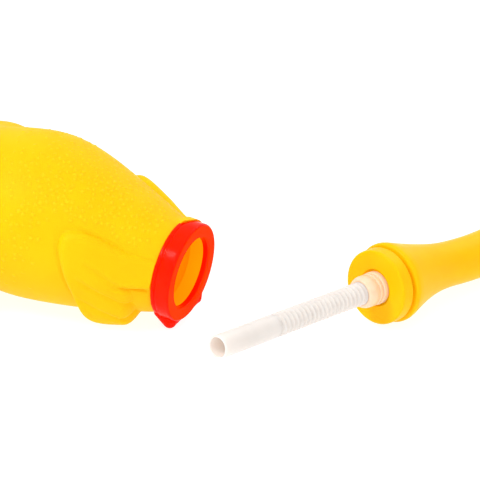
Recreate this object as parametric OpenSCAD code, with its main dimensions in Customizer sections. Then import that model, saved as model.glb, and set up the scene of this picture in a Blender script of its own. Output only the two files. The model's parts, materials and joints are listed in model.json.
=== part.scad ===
// Pull-apart squeaking rubber chicken, lying on a table with its neck piece out.
// The row's origin is the centre of the collar's front face; +X runs out of the
// mouth over the table, +Z is up. Every length is in millimetres.

/* [Body] */
// Radius of the trunk at its widest
trunk_r = 39; // [34:0.5:43]
// Distance behind the collar's face where the trunk is widest
trunk_at = 88; // [75:1:95]
// Distance behind the collar's face where the rear starts to round off
rump_at = 108; // [104:1:114]
// How far the trunk's centre line rises towards the back
back_rise = 3.6; // [0:0.2:6]
// How much slimmer the trunk is where the rump starts
waist = 4; // [0:0.2:5]
// Distance behind the collar's face where the trunk starts to slim
waist_at = 72; // [65:1:85]
// Reach of the rump behind the place where it starts to round off
rump_l = 33; // [28:1:38]
// Length that the tail nub stands out of the rump
tail_l = 13; // [4:0.5:16]
// Thickness of the soft skin
skin = 2.2; // [1.6:0.1:3]
// Radius of the round thighs
thigh_r = 29.5; // [26:0.5:30]
// Distance behind the collar's face of the thighs' centres
thigh_at = 114; // [110:1:118]
// Distance of each thigh's centre from the middle plane
thigh_side = 22; // [18:0.5:24]
// Distance of the thighs' centres below the neck's axis
thigh_low = 7; // [4:0.5:9]
// Height that the folded wings stand out of the skin at the shoulder
wing_h = 3.6; // [2:0.2:5]
// How much further the wings' tips stand out, as a share of that height
wing_flare = 1.2; // [0:0.1:1.4]

/* [Collar] */
// Radius of the hole that the neck piece plugs into
mouth_r = 16.4; // [14:0.1:18]
// Outer radius of the collar
collar_r = 23; // [22:0.25:25]
// Width of the collar along the mouth's axis
collar_w = 9.5; // [8:0.25:12]
// Depth of the fine groove round the collar
collar_groove = 0.8; // [0.4:0.1:1.2]
// Radius of each lobe of the moulded knot at the throat
knot_r = 3.6; // [3:0.1:4.4]
// Half the angle between the knot's two lobes
knot_spread = 29; // [22:1:38]
// Turn of the knot away from the middle of the throat
knot_turn = -5; // [-15:1:15]

/* [Legs] */
// Radius of the ball at the top of each leg
hip_r = 12.5; // [10:0.25:14]
// Length from the hip to the ankle
leg_l = 62; // [50:1:75]
// Radius of the shank above the ankle
shank_r = 5.6; // [4.5:0.1:6.5]
// Length of the middle toe from the ankle
toe_l = 33; // [25:1:40]
// Radius of the toes
toe_r = 3.2; // [2.4:0.1:4]
// Reach of the hind toe, which turns out to the side
hind_toe = 15; // [12:0.5:18]
// Angle between neighbouring toes
toe_spread = 30; // [22:1:36]

/* [Neck piece] */
// How much wider the plug is than the soft mouth that grips it
plug_grip = 0.9; // [0.4:0.1:1.4]
// Width of the plug's rim along the neck
plug_w = 6.5; // [5:0.25:8]
// Width of the groove that the collar's lip sits in
groove_w = 1.6; // [1.2:0.1:2.5]
// Radius of the stop rim that bears on the collar
stop_r = 18.5; // [18:0.1:20]
// Width of the stop rim along the neck
stop_w = 4.4; // [3:0.2:6]
// Radius of the plain neck
neck_r = 10.8; // [10:0.1:13]
// Length that the flare takes to come down to the plain neck
flare_l = 42; // [30:1:45]
// Length of the neck piece from the plug's face to the head
neck_l = 112; // [104:1:125]

/* [Head] */
// Radius of the ball where the head flexes on the neck
nape_r = 10.6; // [10:0.1:11.5]
// Radius of the skull
skull_r = 13; // [12:0.25:13.25]
// Distance from the flex point to the skull's centre
skull_at = 17; // [15:0.5:20]
// Length of the beak from the skull's centre
beak_l = 31; // [26:0.5:36]
// Angle between the two halves of the open beak
beak_gape = 46; // [30:1:55]
// Radius of the eyeballs
eye_r = 4.8; // [4:0.1:5.5]

/* [Squeaker] */
// Radius of the squeaker's head where it seats in the plug
barrel_r = 7.6; // [7:0.1:8.5]
// Radial clearance of the squeaker's head in the plug's hole
barrel_gap = 0.1; // [0.05:0.01:0.2]
// Length of the squeaker's head in front of the plug
barrel_out = 10.5; // [9:0.5:16]
// Length of the squeaker's head inside the plug
barrel_in = 16; // [14:0.5:20]
// Outer radius of the plain tube
tube_r = 5.4; // [5:0.05:6]
// Thickness of the tube's wall
tube_wall = 0.9; // [0.6:0.05:1.2]
// Number of rings on the flexible stretch
rings = 21; // [12:1:26]
// Length of one ring of the flexible stretch
ring_pitch = 2.7; // [2.2:0.1:3]
// Depth of the grooves between the rings
ring_depth = 0.7; // [0.4:0.05:1]
// Length of the tube's plain end
tube_end_l = 35.2; // [30:0.1:45]

/* [Where things lie] */
// Slope of the body: the mouth dips below the rump by this angle
body_tilt = 8.2; // [0:0.1:12]
// Roll of the body's back towards the near side
body_roll = 14; // [0:1:25]
// Height of the mouth's centre above the table
mouth_height = 26; // [25.75:0.25:30]
// Distance ahead of the mouth where the neck piece's axis crosses the body's
cross_x = 62.7; // [60:0.5:80]
// Distance from that crossing to the plug's face
cross_to_plug = 37.9; // [30:0.5:48]
// Angle between the body's axis and the neck piece, seen from above
neck_yaw = 72.3; // [60:0.5:90]
// Slope of the neck piece down towards the head
neck_pitch = 2.5; // [0:0.1:4]
// Slope of the head up from the end of the neck
head_lift = 8; // [0:0.5:12]

/* [Hidden] */

skin_yellow = "#FFD21E";
neck_yellow = "#FDC814";
collar_red = "#F01A10";
paint_red = "#E02818";
beak_orange = "#F59A1E";
milk_white = "#ECE6E0";

flex_gap = 0.4;                       // room between soft pieces that flex
plug_r = mouth_r + plug_grip;
stump_r = collar_r - 1.5;             // skin where it meets the collar
stump_bore = mouth_r + 0.8;           // the skin's hole there
centre_l = 140;                       // length that the bend of the centre line takes
stop_at = plug_w + groove_w;
flare_at = stop_at + stop_w;
tube_in_r = tube_r - tube_wall;
corrugated_l = rings * ring_pitch;
tube_x = -barrel_out - corrugated_l;  // where the plain end starts
plug_height = stop_r + 0.35;          // plug's centre above the table
smooth = 96;

// Turns of a point about the axes, and the two placings built from them
function turn_x(a, p) = [p.x, p.y * cos(a) - p.z * sin(a), p.y * sin(a) + p.z * cos(a)];
function turn_y(a, p) = [p.x * cos(a) + p.z * sin(a), p.y, -p.x * sin(a) + p.z * cos(a)];
function turn_z(a, p) = [p.x * cos(a) - p.y * sin(a), p.x * sin(a) + p.y * cos(a), p.z];
function on_body(p) = turn_y(body_tilt, turn_x(body_roll, p));
function on_neck(p) = plug_centre + turn_z(neck_yaw, turn_y(neck_pitch, p));
function unit(p) = p / norm(p);

plug_centre = [
  cross_x + cross_to_plug * cos(neck_yaw),
  cross_to_plug * sin(neck_yaw),
  plug_height - mouth_height
];

module place_body() { rotate([0, body_tilt, 0]) rotate([body_roll, 0, 0]) children(); }
module place_neck() { translate(plug_centre) rotate([0, neck_pitch, neck_yaw]) children(); }

// ---------------------------------------------------------------- body skin
// The skin is a grid of rays. Up to the rump they leave the centre line square
// to it; behind that they fan out from one point to close the rear.
ray_count = 44;
trunk_rows = 24;
rump_rows = 11;

function centre_z(s) = back_rise * pow(sin(180 * s / centre_l), 2);
function trunk_radius(s) =
  stump_r + (trunk_r - stump_r) * sin(90 * min(1, (s - collar_w) / (trunk_at - collar_w)))
    - waist * pow(max(0, (s - waist_at) / (rump_at - waist_at)), 2);

// Distance from a point inside a ball, or beside it, along a ray to its far side
function ball_reach(from, ray, centre, r) =
  let (along = (centre - from) * ray, off = norm(centre - from - along * ray))
  off < r && along > 0 ? along + sqrt(r * r - off * off) : 0;

// The largest of several reaches, with the creases between them filled a little
function soft_max(reaches) =
  let (top = max(reaches)) top * pow([for (x = reaches) pow(x / top, 16)] * [for (x = reaches) 1], 1 / 16);

// A folded wing: the share of its height at a place s along and angle a from the
// back. Its middle line leans, so that the tips lie further forward than the elbow.
wing_s = 35.5;
wing_rear = 12;
wing_front = 22;
wing_lean = 0.16;
wing_a = 94;
wing_half_a = 47;
function ease(t) = let (u = min(1, max(0, t))) u * u * (3 - 2 * u);
function wing(s, a) =
  let (
    middle = wing_s - wing_lean * (a - wing_a),
    u = (s - middle) / (s > middle ? wing_rear : wing_front),
    v = (a - wing_a) / wing_half_a,
    d = pow(pow(abs(u), 3) + pow(abs(v), 3), 1 / 3),
    flare = 1 + wing_flare * ease((a - wing_a - 4) / 35)
  )
  d < 1 ? flare * pow(cos(90 * pow(d, 3)), 0.7) : 0;

function thigh_centre(side) = [-thigh_at, side * thigh_side, -thigh_low];
tail_way = unit([-1, 0, 0.75]);       // the way that the tail points
tail_spread = 0.26;                   // how far round that way the tail reaches, in radians

// One point of the skin: row i from the collar to the rear, ray j round the back
function rump_angle(i) = 90 * (i - trunk_rows) / rump_rows;
function skin_point(i, j, inset) =
  let (
    a = 360 * j / ray_count,
    from_back = min(a, 360 - a),
    in_rump = i > trunk_rows,
    fan = in_rump ? rump_angle(i) : 0,
    s = collar_w + (rump_at - collar_w) * min(i, trunk_rows) / trunk_rows,
    from = [-s, 0, centre_z(s)],
    ray = [-sin(fan), cos(fan) * sin(a), cos(fan) * cos(a)],
    core = in_rump
      ? 1 / norm([sin(fan) / rump_l, cos(fan) / trunk_radius(rump_at)])
      : trunk_radius(s),
    reach = soft_max([
      core,
      ball_reach(from, ray, thigh_centre(1), thigh_r),
      ball_reach(from, ray, thigh_centre(-1), thigh_r)
    ]),
    tail = tail_l * exp(-pow(norm(ray - tail_way) / tail_spread, 2)) * (in_rump ? 1 : 0),
    relief = in_rump ? 0 : wing_h * wing(s, from_back)
  )
  from + ray * (reach - inset + (inset > 0 ? 0 : tail + relief));

module body_skin() {
  rows = trunk_rows + rump_rows;
  outer = [for (i = [0:rows - 1]) for (j = [0:ray_count - 1]) skin_point(i, j, 0)];
  inner = [for (i = [0:rows - 1]) for (j = [0:ray_count - 1])
    i == 0
      ? [-collar_w, stump_bore * sin(360 * j / ray_count), stump_bore * cos(360 * j / ray_count)]
      : skin_point(i, j, skin)];
  poles = [skin_point(rows, 0, 0), skin_point(rows, 0, skin)];
  n = ray_count;
  m = rows * n;
  function nxt(j) = (j + 1) % n;
  color(skin_yellow) place_body() polyhedron(
    points = concat(outer, inner, poles),
    faces = concat(
      [for (i = [0:rows - 2]) for (j = [0:n - 1]) [i * n + j, i * n + nxt(j), (i + 1) * n + j]],
      [for (i = [0:rows - 2]) for (j = [0:n - 1]) [i * n + nxt(j), (i + 1) * n + nxt(j), (i + 1) * n + j]],
      [for (i = [0:rows - 2]) for (j = [0:n - 1]) [m + i * n + j, m + (i + 1) * n + j, m + i * n + nxt(j)]],
      [for (i = [0:rows - 2]) for (j = [0:n - 1])
        [m + i * n + nxt(j), m + (i + 1) * n + j, m + (i + 1) * n + nxt(j)]],
      [for (j = [0:n - 1]) [j, m + j, nxt(j)]],
      [for (j = [0:n - 1]) [nxt(j), m + j, m + nxt(j)]],
      [for (j = [0:n - 1]) [(rows - 1) * n + j, (rows - 1) * n + nxt(j), 2 * m]],
      [for (j = [0:n - 1]) [m + (rows - 1) * n + nxt(j), m + (rows - 1) * n + j, 2 * m + 1]]
    ),
    convexity = 6
  );
}

// ------------------------------------------------------------------- collar
edge = 1.3;
groove_at = collar_w - 2.7;

module collar_ring() {
  knot_at = collar_r + 0.6;
  bar_w = 4.4;                        // strip between the knot's lobes
  bar_l = 2 * knot_at * sin(knot_spread);
  bar_low = knot_at * cos(knot_spread) + 0.85 * knot_r;
  color(collar_red) place_body() difference() {
    union() {
      rotate([0, -90, 0]) rotate_extrude($fn = smooth) polygon([
        [mouth_r + edge, 0],
        [collar_r - edge, 0],
        for (a = [60:-30:0]) [collar_r - edge + edge * cos(a), edge - edge * sin(a)],
        [collar_r, groove_at],
        [collar_r - collar_groove, groove_at + 0.2],
        [collar_r - collar_groove, groove_at + 0.8],
        [collar_r - 0.3, groove_at + 1.0],
        [collar_r - 0.3, collar_w - 0.6],
        [collar_r - 0.9, collar_w],
        [mouth_r, collar_w],
        for (a = [180:-30:120]) [mouth_r + edge + edge * cos(a), edge - edge * sin(a)],
      ]);
      for (side = [-1, 1])
        rotate([180 + knot_turn + side * knot_spread, 0, 0])
          translate([-collar_w / 2, 0, knot_at]) sphere(r = knot_r, $fn = 48);
      rotate([knot_turn, 0, 0])
        translate([-(collar_w + bar_w) / 2, -bar_l / 2, -bar_low])
          cube([bar_w, bar_l, bar_low - collar_r + 5]);
    }
    rotate([0, -90, 0]) translate([0, 0, -1]) cylinder(r = mouth_r, h = collar_w + 2, $fn = smooth);
    // the lobes end flush with the collar's rear face, where the skin starts
    translate([-collar_w - 20, -40, -40]) cube([20, 80, 80]);
  }
}

// --------------------------------------------------------------------- legs
// Each hip is a ball just clear of its thigh, and the leg runs on from it to a
// foot that lies on the table.
hip_reach = thigh_r + flex_gap + hip_r;
hip_splay = 14;                       // the hips point out to the sides by this angle
ankle_lift = 1.4;                     // room under the ankle's swelling
leg_splay = 7;                        // and so do the legs by this one
ankle_x = leg_l + 3;                  // the leg's end
function hip_fall(side) = side > 0 ? -0.42 : -0.38;
function hip_way(side) = unit(turn_z(-side * hip_splay, [-1, 0, hip_fall(side)]));
function hip_centre(side) = on_body(thigh_centre(side)) + hip_reach * hip_way(side);
function ankle_drop(side) = hip_centre(side).z + mouth_height - shank_r - ankle_lift;
function leg_slope(side) = asin(ankle_drop(side) / leg_l);
function ankle_point(side) =
  hip_centre(side) + turn_z(180 - side * leg_splay, turn_y(leg_slope(side), [ankle_x, 0, 0]));

module place_leg(side) {
  translate(hip_centre(side)) rotate([0, leg_slope(side), 180 - side * leg_splay]) children();
}

function leg_radius(u) =
  let (t = min(1, max(0, u / (leg_l * 0.8))))
  shank_r + (hip_r - shank_r) * pow(cos(90 * t), 1.6)
    + 1.2 * exp(-pow((u - leg_l) / 4.5, 2));

module leg(side) {
  steps = 22;
  color(skin_yellow) place_leg(side) rotate([0, 90, 0]) difference() {
    rotate_extrude($fn = smooth) polygon([
      [0, ankle_x], [0, -hip_r],
      for (a = [-75:15:0]) [hip_r * cos(a), hip_r * sin(a)],
      for (i = [1:steps]) [leg_radius(i * (leg_l - 1) / steps), i * (leg_l - 1) / steps],
      [shank_r, ankle_x]
    ]);
    rotate_extrude($fn = smooth) polygon([
      [0, leg_l - 10], [0, skin - hip_r],
      for (a = [-70:20:-10]) [(hip_r - skin) * cos(a), (hip_r - skin) * sin(a)],
      for (i = [0:2:steps - 6]) [leg_radius(i * leg_l / steps) - skin, i * leg_l / steps]
    ]);
  }
}

module foot(side) {
  ankle = ankle_point(side);
  sole = toe_r + 0.1 - mouth_height;  // height of the toes' middle line
  root_x = 5;                         // where the toes meet
  claw_r = toe_r * 0.62;
  web_r = toe_r * 0.55;
  web_z = web_r - toe_r + 0.4;
  color(beak_orange) difference() {
    translate([ankle.x, ankle.y, sole])
      rotate([0, 0, 180 - side * leg_splay]) union() {
        hull() {
          translate([1, 0, ankle.z - sole - 0.9]) sphere(r = shank_r - 0.4, $fn = 20);
          translate([root_x, 0, 0.6]) sphere(r = toe_r + 0.7, $fn = 20);
        }
        for (spread = [-toe_spread, 0, toe_spread]) rotate([0, 0, spread]) hull() {
          reach = toe_l - abs(spread) * 0.12;
          translate([root_x, 0, 0.4]) sphere(r = toe_r + 0.2, $fn = 20);
          translate([reach * 0.6, 0, 0.2]) sphere(r = toe_r, $fn = 20);
          translate([reach, 0, claw_r - toe_r]) sphere(r = claw_r, $fn = 16);
        }
        hull() for (spread = [-toe_spread, 0, toe_spread]) rotate([0, 0, spread]) {
          translate([root_x + 2, 0, web_z]) sphere(r = web_r, $fn = 12);
          translate([toe_l * 0.5, 0, web_z]) sphere(r = web_r, $fn = 12);
        }
        // the hind toe, turned out beside the shank
        hull() {
          translate([root_x - 0.5, 0, 0.6]) sphere(r = toe_r, $fn = 20);
          translate([1, side * -hind_toe, claw_r - toe_r]) sphere(r = claw_r, $fn = 16);
        }
      }
    // the shank's end, which the foot is joined to
    place_leg(side) rotate([0, 90, 0]) cylinder(r = shank_r + 2, h = ankle_x, $fn = 48);
  }
}
module left_leg() leg(1);
module right_leg() leg(-1);
module left_foot() foot(1);
module right_foot() foot(-1);

// --------------------------------------------------------------- neck piece
neck_wall = skin;
face_wall = 3;
function flare_radius(u) = neck_r + (stop_r - neck_r) * pow(1 - sin(90 * min(1, u / flare_l)), 1.15);

module neck_skin() {
  steps = 16;
  color(neck_yellow) place_neck() rotate([0, 90, 0]) rotate_extrude($fn = smooth) polygon([
    [barrel_r + barrel_gap, 0],
    for (a = [90:-30:0]) [plug_r - 1 + cos(a), 1 - sin(a)],
    for (a = [0:30:90]) [plug_r - 0.6 + 0.6 * cos(a), plug_w - 0.6 + 0.6 * sin(a)],
    [plug_r - 1.8, plug_w],
    [plug_r - 1.8, stop_at],
    for (a = [90:-30:-30]) [stop_r - 1.4 + 1.4 * cos(a), stop_at + 1.4 - 1.4 * sin(a)],
    for (i = [0:steps]) [flare_radius(i * flare_l / steps) - 0.3, flare_at - 1 + i * flare_l / steps],
    [neck_r - 0.3, neck_l - 1],
    [neck_r - 1.3, neck_l],
    [0, neck_l],
    [0, neck_l - neck_wall],
    [neck_r - neck_wall, neck_l - neck_wall],
    for (i = [steps:-2:0])
      [flare_radius(i * flare_l / steps) - 0.3 - neck_wall, flare_at - 1 + i * flare_l / steps],
    [plug_r - 1.8 - neck_wall, stop_at],
    [plug_r - 1.8 - neck_wall, face_wall],
    [barrel_r + barrel_gap, face_wall]
  ]);
}

// --------------------------------------------------------------------- head
// The head lies on its side: its profile is level, the beak points to -Y and
// the comb to +Y of the neck's own frame.
beak_turn = -58;
mouth_slot = 3.4;
upper_beak_r = 6.2;
lower_beak_r = 5.2;
nape_centre = [neck_l + flex_gap + nape_r, 0, 0];

module place_head() {
  place_neck() translate(nape_centre) rotate([0, -head_lift, 0]) children();
}
module place_skull() { place_head() translate([skull_at, 0, 0]) children(); }

module head_form() {
  sphere(r = nape_r, $fn = 64);
  rotate([0, 90, 0]) cylinder(r1 = nape_r - 0.2, r2 = skull_r - 1.5, h = skull_at - 4, $fn = 64);
  translate([skull_at, 0, 0]) sphere(r = skull_r, $fn = 72);
}

module head_skin() {
  color(skin_yellow) place_head() difference() {
    head_form();
    sphere(r = nape_r - skin, $fn = 64);
    rotate([0, 90, 0])
      cylinder(r1 = nape_r - skin - 1, r2 = skull_r - skin - 2.5, h = skull_at - 4, $fn = 64);
    translate([skull_at, 0, 0]) sphere(r = skull_r - skin, $fn = 72);
  }
}

module skull_cut() { translate([-skull_at, 0, 0]) head_form(); }

module beak_half(lift, r, length) {
  rotate([0, 0, beak_turn + lift]) difference() {
    hull() {
      translate([skull_r * 0.72, 0, 0]) sphere(r = r, $fn = 32);
      translate([length * 0.72, 0, 0]) sphere(r = r * 0.5, $fn = 24);
      translate([length, lift > 0 ? -1.6 : 1.6, 0]) sphere(r = r * 0.16, $fn = 16);
    }
    rotate([0, 0, -beak_turn - lift]) skull_cut();
    // the mouth's slot between the two halves, where the tongue lies
    rotate([0, 0, -lift]) translate([0, lift > 0 ? mouth_slot / 2 - 30 : -mouth_slot / 2, -15])
      cube([60, 30, 30]);
  }
}
module upper_beak() { color(beak_orange) place_skull() beak_half(beak_gape / 2, upper_beak_r, beak_l); }
module lower_beak() {
  color(beak_orange) place_skull() beak_half(-beak_gape / 2, lower_beak_r, beak_l - 3);
}

module tongue() {
  color(paint_red) place_skull() rotate([0, 0, beak_turn]) difference() {
    hull() {
      translate([skull_r * 0.9, 0, 0]) sphere(r = 1.5, $fn = 20);
      translate([beak_l * 0.62, 0, 0]) sphere(r = 1.1, $fn = 20);
    }
    skull_cut();
  }
}

// The comb runs over the crown between two angles, with a round lobe at each step
comb_first = 16;
comb_step = 22;
comb_last = 104;
module comb() {
  thick = 5;
  lobe_r = 3.6;
  middle = (comb_first + comb_last) / 2;
  color(paint_red) place_skull() difference() {
    translate([0, 0, -thick / 2]) linear_extrude(height = thick) union() {
      for (a = [comb_first:comb_step:comb_last]) rotate([0, 0, a])
        translate([skull_r + lobe_r - 0.4 - abs(a - middle) * 0.03, 0]) circle(r = lobe_r, $fn = 48);
      difference() {
        circle(r = skull_r + 2, $fn = 96);
        rotate([0, 0, comb_last + 4]) translate([-60, 0]) square([120, 60]);
        rotate([0, 0, comb_first - 4]) translate([-60, -60]) square([120, 60]);
      }
    }
    skull_cut();
  }
}

// Two wattles hang behind the lower beak, one each side
module wattles() {
  color(paint_red) place_skull() difference() {
    union() for (side = [-1, 1])
      hull() {
        rotate([0, 0, beak_turn - 64]) translate([skull_r - 0.6, 0, side * 3.4]) sphere(r = 2.2, $fn = 24);
        rotate([0, 0, beak_turn - 68]) translate([skull_r + 7, 0, side * 4]) sphere(r = 3.4, $fn = 28);
      }
    skull_cut();
  }
}

// An eye is a shallow dome on the skull's side
eye_dir = unit([0.30, -0.36, 1]);
eye_sink = 2.9;
function eye_centre(side) = (skull_r - eye_sink) * [eye_dir.x, eye_dir.y, side * eye_dir.z];
module eye(side) {
  color("white") place_skull() difference() {
    translate(eye_centre(side)) sphere(r = eye_r, $fn = 48);
    skull_cut();
  }
}
module pupil(side) {
  pupil_r = 1.9;
  out = unit([eye_dir.x, eye_dir.y, side * eye_dir.z]);
  color("#101010") place_skull() difference() {
    translate(eye_centre(side) + out * (eye_r - pupil_r + 0.45)) sphere(r = pupil_r, $fn = 32);
    translate(eye_centre(side)) sphere(r = eye_r, $fn = 48);
  }
}
module left_eye() eye(1);
module right_eye() eye(-1);
module left_pupil() pupil(1);
module right_pupil() pupil(-1);

// ----------------------------------------------------------------- squeaker
// Its own axis is the neck's; minus X runs out of the plug towards the tube's end.
seat_l = 8;
seat_gap = 0.05;
seat_at = barrel_in - seat_l - 2;
reed_t = 0.35;
barrel_bore = tube_in_r + 0.5;

module whistle_barrel() {
  dome_r = barrel_r - 0.2;
  dome_l = barrel_out * 0.56;
  ring_l = (barrel_out - dome_l) / 2;
  color(milk_white) place_neck() rotate([0, 90, 0]) rotate_extrude($fn = smooth) polygon([
    [tube_in_r, -barrel_out],
    [tube_r, -barrel_out],
    for (a = [0:15:75]) [tube_r + (dome_r - tube_r) * sin(a), -barrel_out + dome_l * 0.5 * (1 - cos(a))],
    [dome_r, -barrel_out + dome_l * 0.5],
    for (at = [-2 * ring_l, -ring_l]) each [
      [dome_r, at - 0.4],
      [dome_r - 0.7, at],
      [dome_r - 0.7, at + 0.4],
      [dome_r, at + 0.8]
    ],
    [barrel_r, 0],
    [barrel_r, barrel_in],
    [barrel_bore, barrel_in],
    [barrel_bore, -barrel_out + 2],
    [tube_in_r, -barrel_out + 2]
  ]);
}

module reed_seat() {
  color(milk_white) place_neck() difference() {
    translate([seat_at, 0, 0]) rotate([0, 90, 0])
      cylinder(r = barrel_bore - seat_gap, h = seat_l, $fn = smooth);
    // the channel that the reed beats against, and the flat it is clamped on
    translate([seat_at - 1, -1.5, -1.2]) cube([seat_l - 1, 3, 8]);
    translate([seat_at - 1, -6, 0.6]) cube([seat_l + 2, 12, 6]);
  }
}

module reed() {
  color("#F7F7F2") place_neck() translate([seat_at - 0.5, -2.2, 0.6]) cube([seat_l, 4.4, reed_t]);
}

module corrugated_tube() {
  part = 4;
  n = rings * part;
  function ring_r(i) = tube_r - ring_depth * (0.5 - 0.5 * cos(360 * i / part));
  color(milk_white) place_neck() translate([tube_x, 0, 0]) rotate([0, 90, 0])
    rotate_extrude($fn = 64) polygon([
      for (i = [0:n]) [ring_r(i), i * corrugated_l / n],
      for (i = [n:-1:0]) [ring_r(i) - tube_wall, i * corrugated_l / n]
    ]);
}

module tube_end() {
  color(milk_white) place_neck() translate([tube_x - tube_end_l, 0, 0]) rotate([0, 90, 0]) difference() {
    cylinder(r = tube_r, h = tube_end_l, $fn = smooth);
    translate([0, 0, -1]) cylinder(r = tube_in_r, h = tube_end_l + 2, $fn = smooth);
  }
}

body_skin();
collar_ring();
left_leg();
right_leg();
left_foot();
right_foot();
neck_skin();
head_skin();
comb();
wattles();
upper_beak();
lower_beak();
tongue();
left_eye();
right_eye();
left_pupil();
right_pupil();
whistle_barrel();
reed_seat();
reed();
corrugated_tube();
tube_end();
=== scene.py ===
# %% [markdown]
# # A pull-apart rubber chicken
# The toy is a hollow, blow-moulded body in soft PVC, a neck piece that pulls out
# of it, and a squeaker that plugs into the neck. The working parts come from the
# frame. This lesson makes what the eye sees: the plump skin with its folded
# wings and goose bumps, the glossy collar, the milky ringed tube and the head.

# %% Load the frame
import json
import math

import bmesh
import bpy
import numpy as np
from mathutils import Matrix, Vector


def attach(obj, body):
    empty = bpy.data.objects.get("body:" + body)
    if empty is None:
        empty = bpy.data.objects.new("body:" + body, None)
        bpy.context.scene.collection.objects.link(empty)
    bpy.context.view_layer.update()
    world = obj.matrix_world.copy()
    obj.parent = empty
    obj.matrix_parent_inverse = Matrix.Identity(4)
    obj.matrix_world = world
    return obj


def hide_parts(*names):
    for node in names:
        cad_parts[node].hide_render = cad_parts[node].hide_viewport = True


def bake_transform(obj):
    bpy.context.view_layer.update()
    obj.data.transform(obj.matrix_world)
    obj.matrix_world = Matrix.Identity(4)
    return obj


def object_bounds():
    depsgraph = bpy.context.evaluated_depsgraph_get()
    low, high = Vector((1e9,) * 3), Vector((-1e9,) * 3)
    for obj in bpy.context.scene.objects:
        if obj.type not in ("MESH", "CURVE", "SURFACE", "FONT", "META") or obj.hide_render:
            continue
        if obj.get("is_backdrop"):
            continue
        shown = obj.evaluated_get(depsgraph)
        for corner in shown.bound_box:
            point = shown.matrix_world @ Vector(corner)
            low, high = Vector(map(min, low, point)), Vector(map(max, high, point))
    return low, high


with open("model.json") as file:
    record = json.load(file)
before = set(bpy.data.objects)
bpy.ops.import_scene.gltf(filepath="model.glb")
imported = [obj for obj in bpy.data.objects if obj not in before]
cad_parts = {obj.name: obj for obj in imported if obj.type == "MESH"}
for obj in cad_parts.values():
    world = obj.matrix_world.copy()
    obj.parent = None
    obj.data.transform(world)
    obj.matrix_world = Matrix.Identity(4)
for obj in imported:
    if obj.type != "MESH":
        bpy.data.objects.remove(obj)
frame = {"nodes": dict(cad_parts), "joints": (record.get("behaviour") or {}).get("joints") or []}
cad_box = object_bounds()
joints = {j["name"]: j for j in frame["joints"]}
print("joints:", sorted(joints))

# %% [markdown]
# ## Sizes
# The design is in millimetres and Blender works in metres, so sizes are written
# in millimetres and a piece's points are scaled once, when its mesh is made.
# These are the design's own driving sizes. Joint places come from the frame.

# %% Driving sizes, in millimetres and degrees
MM = 0.001
TRUNK_R, TRUNK_AT, RUMP_AT, BACK_RISE, RUMP_L, TAIL_L = 39.0, 88.0, 108.0, 3.6, 33.0, 13.0
WAIST, WAIST_AT = 4.0, 72.0
SKIN = 2.2
THIGH_R, THIGH_AT, THIGH_SIDE, THIGH_LOW = 29.5, 114.0, 22.0, 7.0
MOUTH_R, COLLAR_R, COLLAR_W = 16.4, 23.0, 9.5
STUMP_R, STUMP_BORE = COLLAR_R - 1.5, MOUTH_R + 0.8
HIP_R, LEG_L, SHANK_R, LEG_SPLAY = 12.5, 62.0, 5.6, 7.0
TOE_L, TOE_R, HIND_TOE, TOE_SPREAD = 33.0, 3.2, 15.0, 30.0
PLUG_R, PLUG_W, GROOVE_W, STOP_R, STOP_W = MOUTH_R + 0.9, 6.5, 1.6, 18.5, 4.4
NECK_R, FLARE_L, NECK_L = 10.8, 42.0, 112.0
NAPE_R, SKULL_R, SKULL_AT, FLEX_GAP = 10.6, 13.0, 17.0, 0.4
BEAK_L, BEAK_GAPE, BEAK_TURN, EYE_R = 31.0, 46.0, -58.0, 4.8
BARREL_R, BARREL_GAP, BARREL_OUT, BARREL_IN = 7.6, 0.1, 10.5, 16.0
TUBE_R, TUBE_WALL, RINGS, RING_PITCH, RING_DEPTH, TUBE_END_L = 5.4, 0.9, 21, 2.7, 0.7, 35.2
BODY_TILT, BODY_ROLL, MOUTH_HEIGHT = 8.2, 14.0, 26.0
CROSS_X, CROSS_TO_PLUG, NECK_YAW, NECK_PITCH, HEAD_LIFT = 62.7, 37.9, 72.3, 2.5, 8.0

# %% Frames: one matrix for each group of pieces, in millimetres
def turn(angle, axis):
    """A turn by an angle in degrees about X, Y or Z."""
    return Matrix.Rotation(math.radians(angle), 4, axis)


def joint_place(name):
    """Where a joint is, in millimetres."""
    return Vector(joints[name]["pos_m"]) / MM


yaw = math.radians(NECK_YAW)
plug_centre = Vector(
    (CROSS_X + CROSS_TO_PLUG * math.cos(yaw), CROSS_TO_PLUG * math.sin(yaw), STOP_R + 0.35 - MOUTH_HEIGHT)
)
BODY = turn(BODY_TILT, "Y") @ turn(BODY_ROLL, "X")
NECK = Matrix.Translation(plug_centre) @ turn(NECK_YAW, "Z") @ turn(NECK_PITCH, "Y")
NAPE_X = NECK_L + FLEX_GAP + NAPE_R
HEAD = NECK @ Matrix.Translation((NAPE_X, 0, 0)) @ turn(-HEAD_LIFT, "Y")
SKULL = HEAD @ Matrix.Translation((SKULL_AT, 0, 0))


def leg_frame(side):
    """+X runs from the hip to the ankle."""
    hip = joint_place("left_hip" if side > 0 else "right_hip")
    slope = math.degrees(math.asin((hip.z + MOUTH_HEIGHT - SHANK_R - 1.4) / LEG_L))
    return Matrix.Translation(hip) @ turn(180 - side * LEG_SPLAY, "Z") @ turn(slope, "Y")


nape_miss = (HEAD.translation - joint_place("head_flex")).length
print(f"head frame is {nape_miss:.3f} mm from its joint")

# %% [markdown]
# ## Camera
# A long lens, turned 26 degrees to the right of the front and 23 degrees above
# the table, shows the whole mouth and squeaker. The ends of the toy run out of
# the picture, so the aim is a point beside the mouth.

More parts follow.
